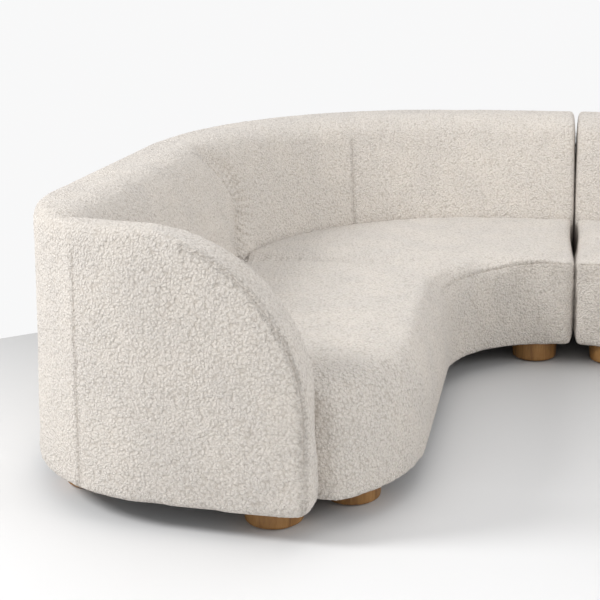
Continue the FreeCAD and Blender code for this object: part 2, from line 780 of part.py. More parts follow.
def front_rail():
    outside = TIMBER_INSET + FIT_GAP
    inside = outside + RAIL_THICKNESS
    ring = slab(seat_plan(outside), RAIL_Z, DECK_Z)
    ring = ring.cut(slab(seat_plan(inside, BACK_DEPTH), 0, BIG))
    keep = box(-BIG, -BIG, 0, SEAM_X - inside, JUNCTION_Y - RAIL_THICKNESS - 2 * FIT_GAP, BIG)
    return ring.common(keep).cut(arm_zone(FIT_GAP))


def seam_panel():
    outside = TIMBER_INSET + FIT_GAP
    front = SEAT_FRONT_Y + outside + RAIL_THICKNESS + FIT_GAP
    rear = JUNCTION_Y - RAIL_THICKNESS - 2 * FIT_GAP
    return box(SEAM_X - outside - RAIL_THICKNESS, front, RAIL_Z, SEAM_X - outside, rear, DECK_Z)


def back_rail():
    section = rectangle(-RAIL_THICKNESS - FIT_GAP, RAIL_Z, -FIT_GAP, DECK_Z)
    rail = all_round(section).cut(arm_zone(FIT_GAP))
    return rail.cut(beyond(SEAM_X - TIMBER_INSET - FIT_GAP))


def cross_boards():
    """Boards between the front and back rails, under the crease and beside the arm."""
    outside = TIMBER_INSET + 2 * FIT_GAP + RAIL_THICKNESS
    x0 = JUNCTION_X + RAIL_THICKNESS + 2 * FIT_GAP
    x1 = SEAT_FACE_X - outside
    boards = []
    for y in (CROSS_REAR_Y, CROSS_FRONT_Y):
        boards.append(box(x0, y, RAIL_Z, x1, y + RAIL_THICKNESS, RAIL_Z + CROSS_BOARD_HEIGHT))
    return boards


def rib(web):
    """One plywood rib of the back, a ring as wide as web."""
    whole = frame_face(FIT_GAP)
    cut_top = rectangle(0, RIB_TOP - TOP_RAIL_THICKNESS - FIT_GAP, BACK_DEPTH, HEIGHT)
    return whole.cut(frame_face(web)).cut(cut_top).Faces[0]


def back_ribs():
    face = rib(RIB_WEB)
    ribs = []
    first = FRONT_Y + ARM_THICKNESS + RIB_ARM_OFFSET
    step = (CORNER_Y - RIB_CORNER_SETBACK - first) / (SIDE_RIBS - 1)
    for i in range(SIDE_RIBS):
        y = first + i * step
        ribs.append(along_side(face, y, y + RIB_THICKNESS))
    for i in range(1, CORNER_RIBS + 1):
        solid = along_side(face, CORNER_Y, CORNER_Y + RIB_THICKNESS)
        solid.rotate(vec(CORNER_X, CORNER_Y), vec(0, 0, 1), -90.0 * i / (CORNER_RIBS + 0.5))
        ribs.append(solid)
    span = SEAM_X - INNER_SKIN - RIB_SEAM_SETBACK - CORNER_X
    for i in range(REAR_RIBS):
        stood = upright_face(face, toward_rear=True)
        stood.translate(vec(CORNER_X + span * (i + 0.5) / REAR_RIBS, JUNCTION_Y))
        ribs.append(stood.extrude(vec(RIB_THICKNESS, 0, 0)))
    room = slab(outer_plan(TIMBER_INSET + FIT_GAP), 0, BIG)
    return [one.common(room) for one in ribs]


def top_rail():
    outer = BACK_DEPTH - TIMBER_INSET - FIT_GAP
    top = RIB_TOP - FIT_GAP
    section = rectangle(outer - TOP_RAIL_WIDTH, top - TOP_RAIL_THICKNESS, outer, top)
    rail = all_round(section).cut(arm_zone(FIT_GAP))
    rail = rail.common(slab(outer_plan(TIMBER_INSET + FIT_GAP), 0, BIG))
    return rail.cut(beyond(SEAM_X - INNER_SKIN - FIT_GAP))


def serpentine(length):
    """One flat zigzag spring along +X from the origin, a closed solid of round wire."""
    radius = SPRING_LOOP / 2
    lag = radius * (1 - math.sqrt(0.5))
    turns = int(length // SPRING_LOOP) - 1
    x = (length - turns * SPRING_LOOP) / 2
    edges = [
        Part.LineSegment(vec(0, 0), vec(x - radius, 0)).toShape(),
        Part.Arc(vec(x - radius, 0), vec(x - lag, lag), vec(x, radius)).toShape(),
        Part.LineSegment(vec(x, radius), vec(x, SPRING_LOOP)).toShape(),
    ]
    side = 1
    for i in range(turns):
        start = vec(x, side * SPRING_LOOP)
        middle = vec(x + radius, side * (SPRING_LOOP + radius))
        x += SPRING_LOOP
        end = vec(x, side * SPRING_LOOP)
        edges.append(Part.Arc(start, middle, end).toShape())
        far = -side * SPRING_LOOP if i < turns - 1 else side * radius
        edges.append(Part.LineSegment(end, vec(x, far)).toShape())
        side = -side
    bend = vec(x + lag, -side * lag)
    edges.append(Part.Arc(vec(x, -side * radius), bend, vec(x + radius, 0)).toShape())
    edges.append(Part.LineSegment(vec(x + radius, 0), vec(length, 0)).toShape())
    section = []
    for i in range(SPRING_WIRE_SIDES + 1):
        angle = 2 * math.pi * i / SPRING_WIRE_SIDES
        section.append(vec(0, math.cos(angle), math.sin(angle)) * (SPRING_WIRE / 2))
    return Part.Wire(edges).makePipeShell([Part.makePolygon(section)], True, True)


def evenly(first, last):
    """Places from first to last, about one spring pitch apart."""
    steps = max(1, int((last - first) // SPRING_PITCH))
    return [first + (last - first) * i / steps for i in range(steps + 1)]


def springs():
    outside = TIMBER_INSET + FIT_GAP + RAIL_THICKNESS + SPRING_END_GAP
    inner = RAIL_THICKNESS + FIT_GAP + SPRING_END_GAP
    z = DECK_Z - SPRING_WIRE
    solids = []
    across = serpentine(SEAT_FACE_X - outside - JUNCTION_X - inner)
    first = CROSS_FRONT_Y + RAIL_THICKNESS + SPRING_ROW_GAP
    for y in evenly(first, CROSS_REAR_Y - SPRING_ROW_GAP):
        one = across.copy()
        one.translate(vec(JUNCTION_X + inner, y, z))
        solids.append(one)
    reach = FRONT_CORNER_RADIUS + outside
    for x in evenly(CORNER_X, SEAM_X - outside - SPRING_ROW_GAP):
        off = max(0.0, SEAT_FACE_X + FRONT_CORNER_RADIUS - x)
        front = SEAT_FRONT_Y + outside - reach + math.sqrt(reach ** 2 - off ** 2)
        one = serpentine(JUNCTION_Y - inner - front)
        one.rotate(vec(0, 0), vec(0, 0, 1), 90)
        one.translate(vec(x, front, z))
        solids.append(one)
    return solids


# legs and fittings

def leg(x, y):
    top = LEG_DIAMETER / 2
    wire = outline([
        (0, GLIDE_HEIGHT, 0),
        (top - LEG_TAPER, GLIDE_HEIGHT, LEG_EDGE_RADIUS),
        (top, LEG_TOP, 0),
        (0, LEG_TOP, 0),
    ])
    face = Part.Face(wire)
    face.rotate(vec(0, 0), vec(1, 0, 0), 90)
    solid = face.revolve(vec(0, 0), vec(0, 0, 1), 360)
    hole_low = LEG_TOP - BOLT_DEPTH - BOLT_END_ROOM
    hole = cylinder(0, 0, hole_low, BIG, BOLT_DIAMETER + 2 * BOLT_CLEARANCE)
    solid = solid.cut(hole)
    solid.translate(vec(x, y))
    return solid


def bolt(x, y):
    shank = cylinder(x, y, LEG_TOP - BOLT_DEPTH, BOARD_TOP + NUT_HEIGHT, BOLT_DIAMETER)
    nut = cylinder(x, y, BOARD_TOP + HEAD_GAP, BOARD_TOP + NUT_HEIGHT, NUT_DIAMETER)
    return shank.fuse(nut).removeSplitter()


def screwed(plate, side):
    """Bores a connector plate for its screws; side is -1 on the left module, 1 on the right."""
    for reach in SCREW_REACH:
        hole = cylinder(side * reach, PIN_Y, 0, BIG, SCREW_DIAMETER + 2 * BOLT_CLEARANCE)
        plate = plate.cut(hole)
    return plate


def tongue():
    """Steel tongue of the left module; its upright pin reaches under the right one."""
    front = PIN_Y - TONGUE_WIDTH / 2
    rear = PIN_Y + TONGUE_WIDTH / 2
    top = TONGUE_Z + TONGUE_THICKNESS
    nose = PIN_REACH + PIN_DIAMETER / 2 + PIN_MARGIN
    plate = box(nose - TONGUE_LENGTH, front, TONGUE_Z, nose, rear, top)
    pad_end = PLATE_MARGIN - min(SCREW_REACH)
    pad = box(nose - TONGUE_LENGTH, front, TONGUE_Z, pad_end, rear, PLATE_TOP)
    pin = cylinder(PIN_REACH, PIN_Y, TONGUE_Z, top + PIN_HEIGHT, PIN_DIAMETER)
    return screwed(plate.fuse([pin, pad]).removeSplitter(), -1)


def strap():
    """Steel strap of the right module with the hole that drops over the pin."""
    plate = box(PIN_REACH - PLATE_MARGIN, PIN_Y - TONGUE_WIDTH / 2, STRAP_Z,
                max(SCREW_REACH) + PLATE_MARGIN, PIN_Y + TONGUE_WIDTH / 2, PLATE_TOP)
    hole = cylinder(PIN_REACH, PIN_Y, 0, BIG, PIN_DIAMETER + 2 * PIN_CLEARANCE)
    return screwed(plate.cut(hole), 1)


def connector_screws(plate_low):
    """Pan-head screws, drawn on the left, that hold a connector plate to the base board."""
    screws = []
    for reach in SCREW_REACH:
        low = plate_low - HEAD_GAP - SCREW_HEAD_HEIGHT
        shank = cylinder(-reach, PIN_Y, low, BOARD_TOP - SCREW_TIP_SHORT, SCREW_DIAMETER)
        head = cylinder(-reach, PIN_Y, low, plate_low - HEAD_GAP, SCREW_HEAD)
        screws.append(shank.fuse(head).removeSplitter())
    return screws


def module_nodes():
    """All pieces that both modules have, drawn for the left one."""
    nodes = {}
    for name, (x, y) in leg_places().items():
        nodes[name] = leg(x, y)
    places = list(leg_places().values())
    glide_top = GLIDE_HEIGHT - HEAD_GAP
    nodes["leg_glides"] = [cylinder(x, y, 0, glide_top, GLIDE_DIAMETER) for x, y in places]
    nodes["leg_bolts"] = [bolt(x, y) for x, y in places]
    nodes["base_board"] = base_board()
    nodes["dust_cover"] = dust_cover()
    nodes["front_rail"] = front_rail()
    nodes["back_rail"] = back_rail()
    nodes["seam_panel"] = seam_panel()
    nodes["cross_boards"] = cross_boards()
    nodes["back_ribs"] = back_ribs()
    nodes["top_rail"] = top_rail()
    nodes["arm_boards"] = arm_boards()
    nodes["seat_springs"] = springs()
    nodes["seat_foam_side"], nodes["seat_foam_corner"] = seat_foams()
    nodes["back_foam_side"], nodes["back_foam_rear"] = back_foams()
    nodes["arm_foam"] = arm_foam()
    nodes["seat_cover_side"], nodes["seat_cover_corner"] = seat_covers()
    nodes["back_cover_side"], nodes["back_cover_rear"] = back_covers()
    nodes["arm_cover"] = arm_cover()
    return nodes


def save(name, solids):
    shape = Part.makeCompound(solids) if len(solids) > 1 else solids[0]
    shape.exportStep(os.path.join("parts", name + ".step"))


def mirrored(solids):
    return [solid.mirror(vec(0, 0), vec(1, 0, 0)) for solid in solids]


os.makedirs("parts", exist_ok=True)
for node, shape in module_nodes().items():
    solids = shape if isinstance(shape, list) else shape.Solids
    save("left_" + node, solids)
    save("right_" + node, mirrored(solids))
save("left_connector", [tongue()])
save("right_connector", [strap()])
save("left_connector_screws", connector_screws(TONGUE_Z))
save("right_connector_screws", mirrored(connector_screws(STRAP_Z)))
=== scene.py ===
import math

import bmesh
import bpy
import numpy as np
from mathutils import Matrix, Vector
from mathutils.bvhtree import BVHTree
from mathutils.kdtree import KDTree


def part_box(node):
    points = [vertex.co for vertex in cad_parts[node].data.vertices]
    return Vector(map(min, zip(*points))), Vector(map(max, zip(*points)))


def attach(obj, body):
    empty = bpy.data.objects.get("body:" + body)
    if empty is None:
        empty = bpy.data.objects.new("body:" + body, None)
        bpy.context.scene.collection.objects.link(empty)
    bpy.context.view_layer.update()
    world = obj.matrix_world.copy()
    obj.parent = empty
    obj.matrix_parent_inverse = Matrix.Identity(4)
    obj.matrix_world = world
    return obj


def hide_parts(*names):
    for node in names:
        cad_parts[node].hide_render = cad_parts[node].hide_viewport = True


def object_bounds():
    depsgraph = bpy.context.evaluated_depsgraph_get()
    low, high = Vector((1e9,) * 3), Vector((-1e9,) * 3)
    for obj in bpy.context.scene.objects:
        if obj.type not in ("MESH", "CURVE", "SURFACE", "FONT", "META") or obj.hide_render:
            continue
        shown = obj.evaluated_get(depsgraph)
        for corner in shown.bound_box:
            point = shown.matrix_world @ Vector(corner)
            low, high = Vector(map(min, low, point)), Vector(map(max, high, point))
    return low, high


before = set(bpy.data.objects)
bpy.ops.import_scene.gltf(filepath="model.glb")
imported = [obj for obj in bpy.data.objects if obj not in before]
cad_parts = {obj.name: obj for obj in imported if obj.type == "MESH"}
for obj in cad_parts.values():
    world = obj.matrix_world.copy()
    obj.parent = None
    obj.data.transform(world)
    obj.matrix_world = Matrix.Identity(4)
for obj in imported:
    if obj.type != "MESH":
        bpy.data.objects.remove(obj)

cad_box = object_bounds()

# Camera: stands in front of the open side, a little left of the seam, and looks slightly
# left and down, so that the left module fills the view.
camera = bpy.data.objects.new("camera", bpy.data.cameras.new("camera"))
camera.location = (-0.054, -4.349, 1.506)
camera.rotation_euler = (math.radians(81.03), 0, math.radians(9.0))
camera.data.lens = 77.75
camera.data.shift_x = -0.10
camera.data.shift_y = -0.25
bpy.context.scene.collection.objects.link(camera)
bpy.context.scene.camera = camera

# Shell of a module: foam over plywood ribs and arm boards, wrapped in looped cloth. The skin
# is sewn from an arm part, a side part and a rear part that runs round the curved corner, and
# it is stapled under the frame.
side_x, front_y, _ = cad_box[0]
_, rear_y, height = cad_box[1]
fabric_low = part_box("left_back_cover_rear")[0].z
seat_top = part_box("left_seat_cover_side")[1].z
junction_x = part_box("left_back_cover_side")[1].x
seam_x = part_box("left_back_cover_rear")[1].x
corner_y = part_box("left_back_cover_side")[1].y
arm_end_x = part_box("left_arm_cover")[1].x
back_depth = junction_x - side_x
junction_y = rear_y - back_depth
corner_x = junction_x + junction_y - corner_y
arm_tilt = math.radians(5.7)
arm_thickness = 0.150
arm_shoulder = 0.485
arm_corner_radius = 0.500
arm_edge_roll = 0.030
arm_low_roll = 0.055
panel_front_y = front_y - 0.0042
back_slope = 0.112 / (0.715 - seat_top)
back_top_roll = 0.115
outer_top_roll = 0.045
fabric_slack = 0.006
turned_under = 0.014
voxel = 0.015


def block(corners, low, high):
    """A closed block over plan corners (x, y, rounding radius), from low to high."""
    bm = bmesh.new()
    base = bm.faces.new([bm.verts.new((x, y, low)) for x, y, _ in corners])
    raised = bmesh.ops.extrude_face_region(bm, geom=[base], use_keep_orig=True)["geom"]
    tops = [v for v in raised if isinstance(v, bmesh.types.BMVert)]
    bmesh.ops.translate(bm, vec=(0, 0, high - low), verts=tops)
    for i, (x, y, radius) in enumerate(corners):
        if radius:
            here = Vector((x, y))
            before = Vector(corners[i - 1][:2]) - here
            after = Vector(corners[(i + 1) % len(corners)][:2]) - here
            upright = [e for e in bm.edges
                       if all((v.co.xy - here).length < 1e-5 for v in e.verts)]
            bmesh.ops.bevel(bm, geom=upright, offset=radius / math.tan(before.angle(after) / 2),
                            offset_type="OFFSET", affect="EDGES", profile=0.5, material=-1,
                            segments=max(4, int(radius / voxel)))
    bmesh.ops.recalc_face_normals(bm, faces=bm.faces)
    return bm


def round_edges(bm, wanted, radius, segments=5):
    """Rolls the edges whose two ends both pass the test."""
    edges = [e for e in bm.edges if e.calc_face_angle(0) > 0.5
             and all(wanted(v.co) for v in e.verts)]
    bmesh.ops.bevel(bm, geom=edges, offset=radius, offset_type="OFFSET", affect="EDGES",
                    profile=0.5, material=-1, segments=segments)


def new_object(name, bm):
    mesh = bpy.data.meshes.new(name)
    bm.to_mesh(mesh)
    bm.free()
    made = bpy.data.objects.new(name, mesh)
    bpy.context.scene.collection.objects.link(made)
    return made


def apply_modifiers(made):
    """Replaces an object's mesh by its evaluated mesh."""
    mesh = bpy.data.meshes.new_from_object(
        made.evaluated_get(bpy.context.evaluated_depsgraph_get()))
    made.modifiers.clear()
    old = made.data
    made.data = mesh
    bpy.data.meshes.remove(old)


def shared_part(made, other):
    """Keeps what two closed blocks have in common."""
    cut = made.modifiers.new("cut", "BOOLEAN")
    cut.operation = "INTERSECT"
    cut.solver = "EXACT"
    cut.object = other
    apply_modifiers(made)


def joined(name, *parts):
    bm = bmesh.new()
    for part in parts:
        bm.from_mesh(part.data)
        bpy.data.objects.remove(part)
    return new_object(name, bm)


def panel_y(x):
    """Y of the arm's outer end panel at x."""
    return panel_front_y + (arm_end_x - x) * math.tan(arm_tilt)


def outer_block():
    """The module's outer contour, with the upper edge of its rear, side and panel rolled."""
    ahead = 0.0015
    open_middle_x, panel_band, side_zone_x, rear_zone_y = -0.2, 0.1, -1.0, 0.9
    bm = block([
        (seam_x, rear_y, 0),
        (side_x, rear_y, rear_y - corner_y),
        (side_x, panel_y(side_x) - ahead, arm_corner_radius),
        (arm_end_x + ahead, panel_y(arm_end_x) - ahead, 0),
        (arm_end_x + ahead, front_y + 0.3, 0),
        (seam_x, front_y + 0.5, 0),
    ], fabric_low - turned_under, height)
    round_edges(bm, lambda co: co.z > height - 1e-4 and (
        co.x < open_middle_x and co.y < panel_y(co.x) + panel_band
        or co.x < side_zone_x or co.y > rear_zone_y), outer_top_roll, 6)
    return new_object("outer", bm)


def back_run():
    """Section of the back carried along the side, round the corner and along the rear."""
    low = fabric_low - turned_under
    behind = back_depth + 0.02
    bm = block([(0.0, low, 0), (0.0, seat_top, 0),
                ((height - seat_top) * back_slope, height, back_top_roll),
                (behind, height, 0), (behind, low, 0)], 0, 0.001)
    section = bmesh.new()
    flat = [f for f in bm.faces if f.normal.z > 0.9][0]
    start_y = front_y + 0.17
    ring = [section.verts.new((junction_x - v.co.x, start_y, v.co.y)) for v in flat.verts]
    bm.free()
    edges = [section.edges.new((ring[i - 1], ring[i])) for i in range(len(ring))]
    for way in ((0, corner_y - start_y, 0), None, (seam_x - corner_x, 0, 0)):
        if way is None:
            turned = bmesh.ops.spin(section, geom=edges, cent=(corner_x, corner_y, 0),
                                    axis=(0, 0, 1), angle=-math.pi / 2, steps=48,
                                    use_duplicate=False)["geom_last"]
            edges = [e for e in turned if isinstance(e, bmesh.types.BMEdge)]
            continue
        grown = bmesh.ops.extrude_edge_only(section, edges=edges)["geom"]
        edges = [e for e in grown if isinstance(e, bmesh.types.BMEdge)]
        bmesh.ops.translate(section, vec=way,
                            verts=list({v for e in edges for v in e.verts}))
    bmesh.ops.holes_fill(section, edges=[e for e in section.edges if e.is_boundary])
    bmesh.ops.recalc_face_normals(section, faces=section.faces)
    return new_object("back", section)


def arm_slab():
    """The arm's slab with its round shoulder, standing under the tilt of the end panel."""
    far_x = side_x - 0.1
    low = fabric_low - turned_under
    bm = block([(far_x, low, 0), (arm_end_x, low, arm_low_roll),
                (arm_end_x, height, arm_shoulder), (far_x, height, 0)], 0, arm_thickness)
    round_edges(bm, lambda co: co.x > far_x + 0.01, arm_edge_roll, 4)
    bmesh.ops.rotate(bm, verts=bm.verts, matrix=Matrix.Rotation(math.radians(90), 3, "X"))
    bmesh.ops.translate(bm, verts=bm.verts, vec=(-arm_end_x, arm_thickness, 0))
    bmesh.ops.rotate(bm, verts=bm.verts, matrix=Matrix.Rotation(-arm_tilt, 3, "Z"))
    bmesh.ops.translate(bm, verts=bm.verts, vec=(arm_end_x, panel_y(arm_end_x), 0))
    bmesh.ops.recalc_face_normals(bm, faces=bm.faces)
    return new_object("arm", bm)


def even_skin(made):
    """One closed skin of even small faces over everything in the mesh, eased a little."""
    remesh = made.modifiers.new("even", "REMESH")
    remesh.mode = "VOXEL"
    remesh.voxel_size = voxel
    apply_modifiers(made)
    bm = bmesh.new()
    bm.from_mesh(made.data)
    for _ in range(3):
        bmesh.ops.smooth_vert(bm, verts=bm.verts, factor=0.5, use_axis_x=True,
                              use_axis_y=True, use_axis_z=True)
    bm.normal_update()
    for v in bm.verts:
        v.co -= v.normal * fabric_slack
    bm.to_mesh(made.data)
    bm.free()


def vectors(made, what):
    """Places or normals of all points of a mesh, one row each."""
    flat = np.empty(len(made.data.vertices) * 3, np.float32)
    made.data.vertices.foreach_get(what, flat)
    return flat.reshape(-1, 3).astype(float)


def move_to(made, places):
    made.data.vertices.foreach_set("co", places.astype(np.float32).ravel())
    made.data.update()


def line_points(corners, spacing=0.001):
    """Points along a run of corners, close together."""
    points = []
    for a, b in zip(corners, corners[1:]):
        a, b = Vector(a), Vector(b)
        steps = max(1, int((b - a).length / spacing))
        points += [a.lerp(b, i / steps) for i in range(steps)]
    return points + [Vector(corners[-1])]


def to_seam(places, points):
    """For each place, the distance to the nearest seam point and that point's number."""
    tree = KDTree(len(points))
    for i, point in enumerate(points):
        tree.insert(point, i)
    tree.balance()
    found = [tree.find(place) for place in places]
    return np.array([f[2] for f in found]), np.array([f[1] for f in found])


def stuff(made, seams, most):
    """Swells a closed skin as stuffed cloth. The seams and the hem stay where they are, and
    no point moves further than most."""
    hem = 0.02
    frames = 20
    before = vectors(made, "co")
    group = made.vertex_groups.new(name="held")
    held = before[:, 2] < fabric_low + hem
    for points, reach in seams:
        held |= to_seam(before, points[::4])[0] < reach
    group.add([int(i) for i in np.nonzero(held)[0]], 1.0, "REPLACE")
    cloth = made.modifiers.new("cloth", "CLOTH")
    cloth.settings.vertex_group_mass = "held"
    cloth.settings.quality = 4
    cloth.settings.mass = 0.4
    cloth.settings.tension_stiffness = 15
    cloth.settings.compression_stiffness = 15
    cloth.settings.shear_stiffness = 8
    cloth.settings.bending_stiffness = 6
    cloth.settings.use_pressure = True
    cloth.settings.uniform_pressure_force = 4
    cloth.settings.effector_weights.gravity = 0
    cloth.collision_settings.use_collision = False
    cloth.point_cache.frame_start = 1
    cloth.point_cache.frame_end = frames
    for step in range(1, frames + 1):
        bpy.context.scene.frame_set(step)
    apply_modifiers(made)
    made.vertex_groups.clear()
    bpy.context.scene.frame_set(1)
    moved = vectors(made, "co") - before
    length = np.linalg.norm(moved, axis=1, keepdims=True)
    moved *= most * np.tanh(length / most) / np.maximum(length, 1e-9)
    ends = np.empty(len(made.data.edges) * 2, np.int32)
    made.data.edges.foreach_get("vertices", ends)
    ends = ends.reshape(-1, 2)
    count = np.bincount(ends.ravel(), minlength=len(moved))[:, None]
    for _ in range(6):
        total = np.zeros_like(moved)
        np.add.at(total, ends[:, 0], moved[ends[:, 1]])
        np.add.at(total, ends[:, 1], moved[ends[:, 0]])
        moved = (moved + total / count) / 2
    move_to(made, before + moved)


def finer(made, seams):
    """Halves the faces once all over, and twice more along the seams."""
    halved = made.modifiers.new("halved", "SUBSURF")
    halved.levels = halved.render_levels = 1
    apply_modifiers(made)
    tree = None
    for reach in (0.016, 0.011):
        bm = bmesh.new()
        bm.from_mesh(made.data)
        tree = tree or BVHTree.FromBMesh(bm)
        near = np.zeros(len(bm.verts), bool)
        places = vectors(made, "co")
        for seam in seams:
            on_skin = [tree.find_nearest(point)[0] for point in seam["points"]]
            near |= to_seam(places, on_skin)[0] < reach
        edges = [e for e in bm.edges if all(near[v.index] for v in e.verts)]
        bmesh.ops.subdivide_edges(bm, edges=edges, cuts=1, use_grid_fill=True)
        bm.to_mesh(made.data)
        bm.free()


def sew(made, seams):
    """Presses each seam's groove into the skin, with small puckers along it, and gives the looped
    cloth its uneven nap. Along the stitched seams it marks a narrow line in which the cloth is
    painted with shade."""
    nap = 0.0007
    thread_and_shade = 0.0028
    places = vectors(made, "co")
    normals = vectors(made, "normal")
    bm = bmesh.new()
    bm.from_mesh(made.data)
    tree = BVHTree.FromBMesh(bm)
    bm.free()
    sunk = np.zeros(len(places))
    line = np.zeros(len(places))
    for seam in seams:
        on_skin = [tree.find_nearest(point)[0] for point in seam["points"]]
        distance, index = to_seam(places, on_skin)
        along = index / len(on_skin)
        fade = np.clip(along / seam["fade"][0], 0, 1) * np.clip((1 - along) / seam["fade"][1], 0, 1)
        fade = fade * fade * (3 - 2 * fade)
        pucker = 1
        for strength, length in ((0.18, 23), (0.12, 61)):
            pucker = pucker + strength * np.sin(index * 2 * np.pi / length)
        for depth, width in seam["grooves"]:
            sunk += depth * pucker * fade * np.exp(-(distance / width) ** 2)
        # Stitched seams also get a narrow line of painted shade along the bottom of their groove;
        # it is stored in the seam attribute.
        if seam["stitched"]:
            line = np.maximum(line, fade * np.exp(-(distance / thread_and_shade) ** 2))
    rough = np.random.default_rng(7).normal(0, nap, len(places)) * (line < 0.1)
    rough = np.clip(rough, -2 * nap, 2 * nap) * (places[:, 2] > fabric_low)
    move_to(made, places + normals * (rough - sunk)[:, None])
    mark = made.data.attributes.new("seam", "FLOAT", "POINT")
    mark.data.foreach_set("value", line.astype(np.float32))


def piece_of(made, name, cuts):
    """A copy of the skin with what lies beyond each plane taken off and the cuts closed."""
    bm = bmesh.new()
    bm.from_mesh(made.data)
    for place, direction in cuts:
        bmesh.ops.bisect_plane(bm, geom=bm.verts[:] + bm.edges[:] + bm.faces[:],
                               plane_co=place, plane_no=direction, clear_outer=True)
        rim = [e for e in bm.edges if e.is_boundary]
        ends = bmesh.ops.holes_fill(bm, edges=rim)["faces"]
        bmesh.ops.triangulate(bm, faces=ends)
        for edge in rim:
            edge.smooth = False
    return new_object(name, bm)


def mirror_piece(made, name):
    """The same piece for the other module, mirrored across the seam."""
    bm = bmesh.new()
    bm.from_mesh(made.data)
    bmesh.ops.scale(bm, vec=(-1, 1, 1), verts=bm.verts)
    bmesh.ops.reverse_faces(bm, faces=bm.faces)
    return new_object(name, bm)


def arm_seam(inset):
    """The curved seam of the arm's end panel, from under the top roll down to the hem. It
    starts a little nearer the edge."""
    first_angle = 72
    steps = 59
    middle_x = arm_end_x - arm_shoulder
    middle_z = height - arm_shoulder
    run = []
    for i in range(steps + 1):
        angle = math.radians(first_angle * (1 - i / steps))
        radius = arm_shoulder - inset * (0.6 + 0.4 * min(1.0, i / 24))
        x = middle_x + radius * math.cos(angle)
        run.append((x, panel_y(x), middle_z + radius * math.sin(angle)))
    x = arm_end_x - inset
    return run + [(x, panel_y(x), fabric_low)]


def corner_seam_place(degrees):
    """Plan point of the upright seam between the outside back and the arm's end panel."""
    middle_x = side_x + arm_corner_radius
    tangent_x = middle_x - arm_corner_radius * math.sin(arm_tilt)
    middle_y = panel_y(tangent_x) + arm_corner_radius * math.cos(arm_tilt)
    angle = math.radians(degrees)
    return (middle_x - arm_corner_radius * math.sin(angle),
            middle_y - arm_corner_radius * math.cos(angle))


def back_line(degrees, low, high, bow=0.0, turn=0.0):
    """A line up the inner face of the back, at an angle round the corner, bowed rearwards or
    turned round the corner on its way up."""
    steps = 39
    run = []
    for i in range(steps + 1):
        share = i / steps
        z = low + (high - low) * share
        out = junction_y - corner_y + (z - seat_top) * back_slope
        angle = math.radians(degrees + turn * share) + bow / out * math.sin(math.pi * share)
        run.append((corner_x - out * math.cos(angle), corner_y + out * math.sin(angle), z))
    return run


arm_seam_inset = 0.020
corner_seam_angle = 29.5
rear_seam_angle, rear_seam_turn, rear_seam_top = 49.0, 3.6, 0.71
swell_angle = 1.8
foot_z = seat_top - 0.02
corner_seam_x, corner_seam_y = corner_seam_place(corner_seam_angle)

# A groove is a depth and a width; a fade is the share of the line over which it starts and ends.
stitched = [(0.0024, 0.0032), (0.0020, 0.011)]
shell_seams = [
    {"points": line_points(arm_seam(arm_seam_inset)), "grooves": stitched,
     "fade": (0.06, 0.25), "stitched": True},
    {"points": line_points([(corner_seam_x, corner_seam_y, fabric_low),
                            (corner_seam_x, corner_seam_y, height - 0.05)]),
     "grooves": stitched, "fade": (0.01, 0.08), "stitched": True},
    {"points": line_points(back_line(rear_seam_angle, foot_z, rear_seam_top,
                                     turn=rear_seam_turn)),
     "grooves": stitched, "fade": (0.01, 0.1), "stitched": True},
    {"points": line_points(back_line(0, foot_z, 0.80, 0.16)),
     "grooves": [(0.020, 0.012)], "fade": (0.01, 0.30), "stitched": False},
    {"points": line_points(back_line(swell_angle, foot_z, 0.81, 0.18)),
     "grooves": [(0.024, 0.050)], "fade": (0.01, 0.15), "stitched": False},
]
outline_block = outer_block()
back = back_run()
arm = arm_slab()
shared_part(back, outline_block)
shared_part(arm, outline_block)
bpy.data.objects.remove(outline_block)
shell = joined("shell", back, arm)
even_skin(shell)
stuff(shell, [(shell_seams[0]["points"], 0.014), (shell_seams[1]["points"], 0.012)], 0.011)
finer(shell, shell_seams[:4])
sew(shell, shell_seams)


# Looped wool cloth in warm off-white: fat uneven loops with painted shade in the small hollows
# between them, dull and slightly furry. Sewn seams pull it into a narrow groove, and painted shade
# darkens a narrow line along it.
boucle = bpy.data.materials.new("boucle")
boucle.use_nodes = True


def node(material, kind, **settings):
    made = material.node_tree.nodes.new("ShaderNode" + kind)
    for key, value in settings.items():
        if hasattr(made, key):
            setattr(made, key, value)
        else:
            made.inputs[key.replace("_", " ")].default_value = value
    return made


def wire(material, *ends):
    """Links sockets in pairs: from, to, from, to."""
    for out, into in zip(ends[::2], ends[1::2]):
        material.node_tree.links.new(out, into)


def ramp(material, stops):
    made = node(material, "ValToRGB")
    elements = made.color_ramp.elements
    while len(elements) < len(stops):
        elements.new(0.5)
    for element, (place, colour) in zip(elements, stops):
        element.position = place
        element.color = (*colour, 1)
    return made


def math_node(material, operation, first, second):
    made = node(material, "Math", operation=operation)
    for socket, value in zip(made.inputs, (first, second)):
        if isinstance(value, (int, float)):
            socket.default_value = value
        else:
            wire(material, value, socket)
    return made.outputs[0]


def shader_of(material):
    return material.node_tree.nodes["Principled BSDF"]


